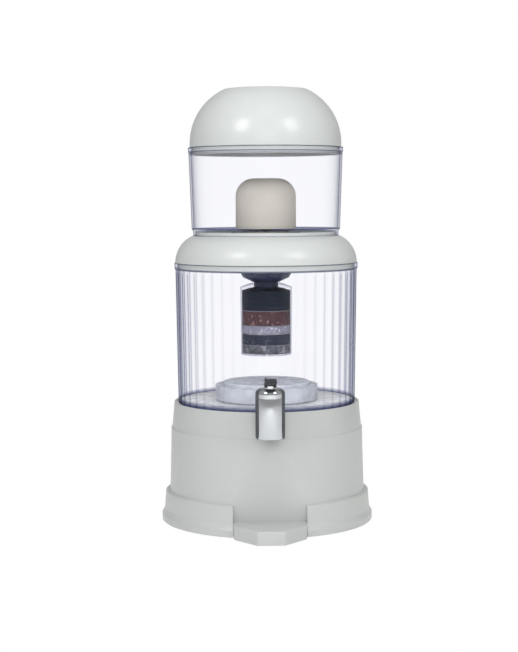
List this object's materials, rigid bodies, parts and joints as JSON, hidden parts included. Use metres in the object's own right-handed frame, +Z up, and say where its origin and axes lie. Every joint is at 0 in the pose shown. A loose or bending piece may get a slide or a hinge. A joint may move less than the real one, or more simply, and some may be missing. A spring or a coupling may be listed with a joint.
{
  "type": "gravity water filter",
  "caption": "Two-tank countertop gravity water filter: domed lid, ceramic dome filter, layered cartridge, reeded clear tank, chrome tap and stand.",
  "frame": {"origin": "middle of the stand's round foot, on the surface that it stands on", "axes": "+Z up along the tanks' axis, -Y to the front where the tap and cup platform are, +X to the right seen from the front"},
  "size_m": [0.2836, 0.3228, 0.575],
  "materials": {
    "white_plastic": "glossy moulded white plastic",
    "clear_plastic": "clear moulded plastic with a faint violet tint",
    "smoke_plastic": "translucent grey-blue plastic",
    "pale_stone": "tumbled mineral stones",
    "chrome": "polished chrome",
    "black_plastic": "black plastic",
    "white_silicone": "soft white silicone",
    "steel": "plain stainless steel",
    "navy_plastic": "dark blue translucent plastic",
    "grey_gravel": "grey mineral gravel",
    "slate_zeolite": "dark slate mineral grains",
    "white_silica": "pale silica sand",
    "red_ceramic": "red-brown ceramic balls",
    "black_charcoal": "blue-black activated charcoal grains",
    "white_felt": "thin white felt",
    "cream_plastic": "cream plastic",
    "cream_ceramic": "unglazed cream ceramic"
  },
  "bodies": {
    "stand": {"base_stand": "white_plastic"},
    "tank": {"lower_tank": "clear_plastic", "tap_body": "chrome", "tap_outer_seal": "white_silicone", "tap_inner_seal": "white_silicone", "tap_lock_nut": "white_plastic", "tap_bonnet": "chrome", "lever_pin": "steel", "valve_spring": "steel"},
    "stone_case": {"stone_case_dish": "smoke_plastic", "stone_case_lid": "smoke_plastic", "mineral_stones": "pale_stone"},
    "lever": {"tap_lever": "black_plastic"},
    "valve": {"valve_stem": "steel", "valve_plug": "white_silicone"},
    "cover": {"shoulder_cover": "white_plastic"},
    "cartridge": {"cartridge_gasket": "white_silicone", "cartridge_cap": "navy_plastic", "cartridge_housing": "clear_plastic", "gravel_bed": "grey_gravel", "zeolite_bed": "slate_zeolite", "silica_bed": "white_silica", "red_ceramic_bed": "red_ceramic", "charcoal_bed": "black_charcoal", "felt_pads": "white_felt"},
    "upper": {"upper_tank": "clear_plastic", "filter_gasket": "white_silicone", "filter_base": "cream_plastic", "ceramic_dome": "cream_ceramic", "filter_nut": "white_plastic"},
    "lid": {"lid_dome": "white_plastic"}
  },
  "joints": [
    {"name": "tank_lift", "type": "slide", "parent": "stand", "child": "tank", "axis": [0, 0, 1], "range_m": [0, 0.1]},
    {"name": "stone_case_lift", "type": "slide", "parent": "tank", "child": "stone_case", "axis": [0, 0, 1], "range_m": [0, 0.03]},
    {"name": "lever_press", "type": "hinge", "parent": "tank", "child": "lever", "pos_m": [0, -0.1565, 0.199], "axis": [1, 0, 0], "range_deg": [0, 20], "stiffness_Nm_per_rad": 0.05, "springref_deg": -28.65},
    {"name": "valve_lift", "type": "slide", "parent": "tank", "child": "valve", "axis": [0, 0, 1], "range_m": [0, 0.00235], "deforming": ["valve_spring"]},
    {"name": "cover_lift", "type": "slide", "parent": "tank", "child": "cover", "axis": [0, 0, 1], "range_m": [0, 0.13]},
    {"name": "cartridge_lift", "type": "slide", "parent": "cover", "child": "cartridge", "axis": [0, 0, 1], "range_m": [0, 0.02]},
    {"name": "upper_tank_lift", "type": "slide", "parent": "cover", "child": "upper", "axis": [0, 0, 1], "range_m": [0, 0.06]},
    {"name": "lid_lift", "type": "slide", "parent": "upper", "child": "lid", "axis": [0, 0, 1], "range_m": [0, 0.1]}
  ],
  "couplings": [
    {"joint": "valve_lift", "follows": "lever_press", "m_per_rad": 0.0065}
  ]
}
